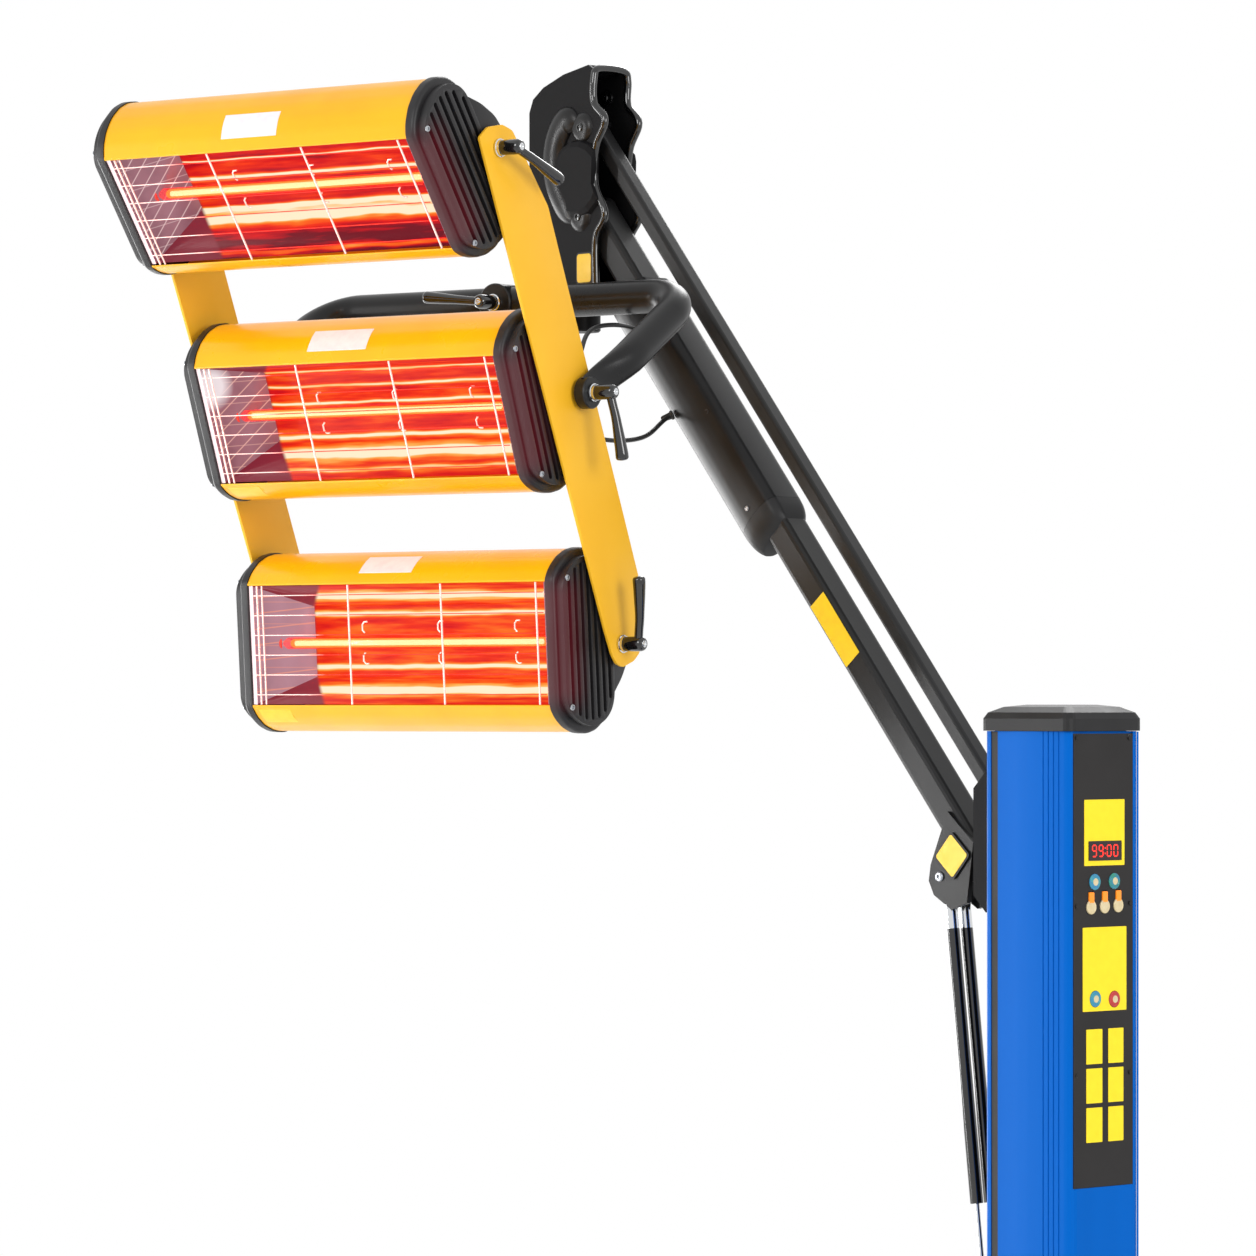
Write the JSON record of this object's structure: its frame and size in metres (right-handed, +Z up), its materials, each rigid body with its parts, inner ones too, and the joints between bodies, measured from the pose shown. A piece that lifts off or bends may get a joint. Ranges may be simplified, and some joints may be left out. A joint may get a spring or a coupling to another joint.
{
  "type": "infrared paint curing lamp",
  "caption": "Free-standing infrared paint curing lamp: blue column on a castered base, balanced parallel arm, tilting yoke and guarded quartz lamp cassettes.",
  "frame": {"origin": "centre of the column on the floor", "axes": "+Z up, +X towards the control panel's side, the arm reaches towards -X and the lamps face roughly -Y"},
  "size_m": [1.2047, 0.9006, 1.7997],
  "materials": {
    "black_coat": "satin black powder coat on steel",
    "gloss_coat": "gloss black paint on a steel cylinder",
    "black_tube": "satin black powder coat, light metal so that the solid stands for a hollow tube",
    "blue_profile": "bright blue coat on an extruded profile",
    "yellow_coat": "glossy yellow powder coat on sheet steel",
    "black_plastic": "finely textured black moulding",
    "gloss_plastic": "glossy black moulding",
    "zinc_steel": "zinc plated pressed steel",
    "polished_steel": "polished rod",
    "guard_wire": "welded bright wire",
    "reflector": "polished aluminium sheet",
    "ruby_glass": "ruby coated quartz, lit",
    "tyre_rubber": "black rubber wheel",
    "cable_rubber": "black cable sheath",
    "display_window": "dark red display window",
    "circuit_board": "green laminate",
    "blue_button": "glossy blue key",
    "green_button": "glossy green key",
    "red_button": "glossy red key",
    "grey_button": "glossy grey key"
  },
  "bodies": {
    "stand": {"base_frame": "black_coat", "column": "blue_profile", "column_cap": "black_plastic", "control_panel": "black_plastic", "display": "display_window", "control_board": "circuit_board", "cable_gland": "black_plastic", "arm_bracket": "black_coat"},
    "fork_left": {"caster_fork_left": "zinc_steel"},
    "fork_right": {"caster_fork_right": "zinc_steel"},
    "front_wheel_left": {"caster_wheel_left": "tyre_rubber"},
    "front_wheel_right": {"caster_wheel_right": "tyre_rubber"},
    "rear_wheel_left": {"rear_wheel_left": "tyre_rubber"},
    "rear_wheel_right": {"rear_wheel_right": "tyre_rubber"},
    "arm": {"main_tube": "black_tube", "arm_cover": "gloss_plastic", "arm_cover_nose": "gloss_plastic"},
    "link": {"link_tube": "black_tube"},
    "strut_body_near": {"strut_body_near": "gloss_coat"},
    "strut_body_far": {"strut_body_far": "gloss_coat"},
    "strut_rod_near": {"strut_rod_near": "polished_steel"},
    "strut_rod_far": {"strut_rod_far": "polished_steel"},
    "knuckle": {"knuckle_near": "black_plastic", "knuckle_far": "black_plastic"},
    "swivel": {"swivel_block": "black_coat"},
    "yoke": {"yoke": "black_tube", "lead_lower": "cable_rubber", "lead_upper": "cable_rubber"},
    "lamp_frame": {"side_plate_left": "yellow_coat", "side_plate_right": "yellow_coat"},
    "cassette_top": {"cassette_shell_top": "yellow_coat", "reflector_top": "reflector", "end_cap_right_top": "black_plastic", "end_cap_left_top": "black_plastic", "lamp_tube_top": "ruby_glass", "guard_top": "guard_wire"},
    "cassette_middle": {"cassette_shell_middle": "yellow_coat", "reflector_middle": "reflector", "end_cap_right_middle": "black_plastic", "end_cap_left_middle": "black_plastic", "lamp_tube_middle": "ruby_glass", "guard_middle": "guard_wire"},
    "cassette_bottom": {"cassette_shell_bottom": "yellow_coat", "reflector_bottom": "reflector", "end_cap_right_bottom": "black_plastic", "end_cap_left_bottom": "black_plastic", "lamp_tube_bottom": "ruby_glass", "guard_bottom": "guard_wire"},
    "lever_top": {"clamp_lever_top": "black_plastic"},
    "lever_bottom": {"clamp_lever_bottom": "black_plastic"},
    "lever_yoke_right": {"clamp_lever_yoke_right": "black_plastic"},
    "lever_yoke_left": {"clamp_lever_yoke_left": "black_plastic"},
    "lever_roll": {"clamp_lever_roll": "black_plastic"},
    "button_select": {"button_select": "blue_button"},
    "button_mode": {"button_mode": "green_button"},
    "button_stop": {"button_stop": "blue_button"},
    "button_start": {"button_start": "red_button"},
    "button_lamp_1": {"button_lamp_1": "grey_button"},
    "button_lamp_2": {"button_lamp_2": "grey_button"},
    "button_lamp_3": {"button_lamp_3": "grey_button"}
  },
  "joints": [
    {"name": "arm_lift", "type": "hinge", "parent": "stand", "child": "arm", "pos_m": [-0.075, 0, 1.0077], "axis": [0, 1, 0], "range_deg": [-30, 10]},
    {"name": "link_turn", "type": "hinge", "parent": "stand", "child": "link", "pos_m": [-0.08, 0, 1.0948], "axis": [0, 1, 0], "range_deg": [-31, 11]},
    {"name": "knuckle_level", "type": "hinge", "parent": "arm", "child": "knuckle", "pos_m": [-0.6163, 0, 1.658], "axis": [0, 1, 0], "range_deg": [-11, 31]},
    {"name": "strut_swing_near", "type": "hinge", "parent": "arm", "child": "strut_body_near", "pos_m": [-0.132, -0.009, 1.016], "axis": [0, 1, 0], "range_deg": [-11, 31]},
    {"name": "rod_swing_near", "type": "hinge", "parent": "stand", "child": "strut_rod_near", "pos_m": [-0.086, -0.009, 0.633], "axis": [0, 1, 0], "range_deg": [-1, 1]},
    {"name": "strut_swing_far", "type": "hinge", "parent": "arm", "child": "strut_body_far", "pos_m": [-0.132, 0.009, 1.016], "axis": [0, 1, 0], "range_deg": [-11, 31]},
    {"name": "rod_swing_far", "type": "hinge", "parent": "stand", "child": "strut_rod_far", "pos_m": [-0.086, 0.009, 0.633], "axis": [0, 1, 0], "range_deg": [-1, 1]},
    {"name": "head_swivel", "type": "hinge", "parent": "knuckle", "child": "swivel", "pos_m": [-0.64105, 0.00014, 1.5614], "axis": [0, 0, 1], "range_deg": [-180, 18]},
    {"name": "head_roll", "type": "hinge", "parent": "swivel", "child": "yoke", "pos_m": [-0.61511, -0.12296, 1.5614], "axis": [0.2062, -0.9785, 0], "range_deg": [-40, 40], "deforming": ["lead_lower", "lead_upper"]},
    {"name": "frame_tilt", "type": "hinge", "parent": "yoke", "child": "lamp_frame", "pos_m": [-0.58315, -0.27463, 1.4616], "axis": [0.9785, 0.2062, 0], "range_deg": [-45, 5]},
    {"name": "cassette_tilt_top", "type": "hinge", "parent": "lamp_frame", "child": "cassette_top", "pos_m": [-0.55711, -0.39821, 1.6778], "axis": [0.9785, 0.2062, 0], "range_deg": [-30, 30]},
    {"name": "cassette_tilt_middle", "type": "hinge", "parent": "lamp_frame", "child": "cassette_middle", "pos_m": [-0.58315, -0.27463, 1.4616], "axis": [0.9785, 0.2062, 0], "range_deg": [-30, 30]},
    {"name": "cassette_tilt_bottom", "type": "hinge", "parent": "lamp_frame", "child": "cassette_bottom", "pos_m": [-0.59705, -0.20868, 1.2303], "axis": [0.9785, 0.2062, 0], "range_deg": [-30, 30]},
    {"name": "lever_turn_top", "type": "hinge", "parent": "lamp_frame", "child": "lever_top", "pos_m": [-0.3614, -0.35697, 1.6778], "axis": [0.9785, 0.2062, 0], "range_deg": [-60, 60]},
    {"name": "lever_turn_bottom", "type": "hinge", "parent": "lamp_frame", "child": "lever_bottom", "pos_m": [-0.40135, -0.16744, 1.2303], "axis": [0.9785, 0.2062, 0], "range_deg": [-60, 60]},
    {"name": "lever_turn_yoke_right", "type": "hinge", "parent": "yoke", "child": "lever_yoke_right", "pos_m": [-0.37277, -0.23029, 1.4616], "axis": [0.9785, 0.2062, 0], "range_deg": [-60, 60]},
    {"name": "lever_turn_yoke_left", "type": "hinge", "parent": "yoke", "child": "lever_yoke_left", "pos_m": [-0.79353, -0.31896, 1.4616], "axis": [0.9785, 0.2062, 0], "range_deg": [-60, 60]},
    {"name": "lever_turn_roll", "type": "hinge", "parent": "yoke", "child": "lever_roll", "pos_m": [-0.6114, -0.14057, 1.5614], "axis": [0.2062, -0.9785, 0], "range_deg": [-60, 60]},
    {"name": "caster_swivel_right", "type": "hinge", "parent": "stand", "child": "fork_right", "pos_m": [-0.47, -0.33, 0.0818], "axis": [0, 0, 1], "continuous": true},
    {"name": "caster_roll_right", "type": "hinge", "parent": "fork_right", "child": "front_wheel_right", "pos_m": [-0.445, -0.33, 0.037], "axis": [0, 1, 0], "continuous": true},
    {"name": "rear_roll_right", "type": "hinge", "parent": "stand", "child": "rear_wheel_right", "pos_m": [0.33, -0.3, 0.037], "axis": [0, 1, 0], "continuous": true},
    {"name": "caster_swivel_left", "type": "hinge", "parent": "stand", "child": "fork_left", "pos_m": [-0.47, 0.33, 0.0818], "axis": [0, 0, 1], "continuous": true},
    {"name": "caster_roll_left", "type": "hinge", "parent": "fork_left", "child": "front_wheel_left", "pos_m": [-0.445, 0.33, 0.037], "axis": [0, 1, 0], "continuous": true},
    {"name": "rear_roll_left", "type": "hinge", "parent": "stand", "child": "rear_wheel_left", "pos_m": [0.33, 0.3, 0.037], "axis": [0, 1, 0], "continuous": true},
    {"name": "button_select_press", "type": "slide", "parent": "stand", "child": "button_select", "axis": [-1, 0, 0], "range_m": [0, 0.0012], "stiffness_N_per_m": 400},
    {"name": "button_mode_press", "type": "slide", "parent": "stand", "child": "button_mode", "axis": [-1, 0, 0], "range_m": [0, 0.0012], "stiffness_N_per_m": 400},
    {"name": "button_stop_press", "type": "slide", "parent": "stand", "child": "button_stop", "axis": [-1, 0, 0], "range_m": [0, 0.0012], "stiffness_N_per_m": 400},
    {"name": "button_start_press", "type": "slide", "parent": "stand", "child": "button_start", "axis": [-1, 0, 0], "range_m": [0, 0.0012], "stiffness_N_per_m": 400},
    {"name": "button_lamp_1_press", "type": "slide", "parent": "stand", "child": "button_lamp_1", "axis": [-1, 0, 0], "range_m": [0, 0.0012], "stiffness_N_per_m": 400},
    {"name": "button_lamp_2_press", "type": "slide", "parent": "stand", "child": "button_lamp_2", "axis": [-1, 0, 0], "range_m": [0, 0.0012], "stiffness_N_per_m": 400},
    {"name": "button_lamp_3_press", "type": "slide", "parent": "stand", "child": "button_lamp_3", "axis": [-1, 0, 0], "range_m": [0, 0.0012], "stiffness_N_per_m": 400}
  ],
  "couplings": [
    {"joint": "link_turn", "follows": "arm_lift", "ratio": 1},
    {"joint": "knuckle_level", "follows": "arm_lift", "ratio": -1},
    {"joint": "strut_swing_near", "follows": "arm_lift", "ratio": -0.9862},
    {"joint": "rod_swing_near", "follows": "arm_lift", "ratio": 0.0138},
    {"joint": "strut_swing_far", "follows": "arm_lift", "ratio": -0.9862},
    {"joint": "rod_swing_far", "follows": "arm_lift", "ratio": 0.0138}
  ]
}
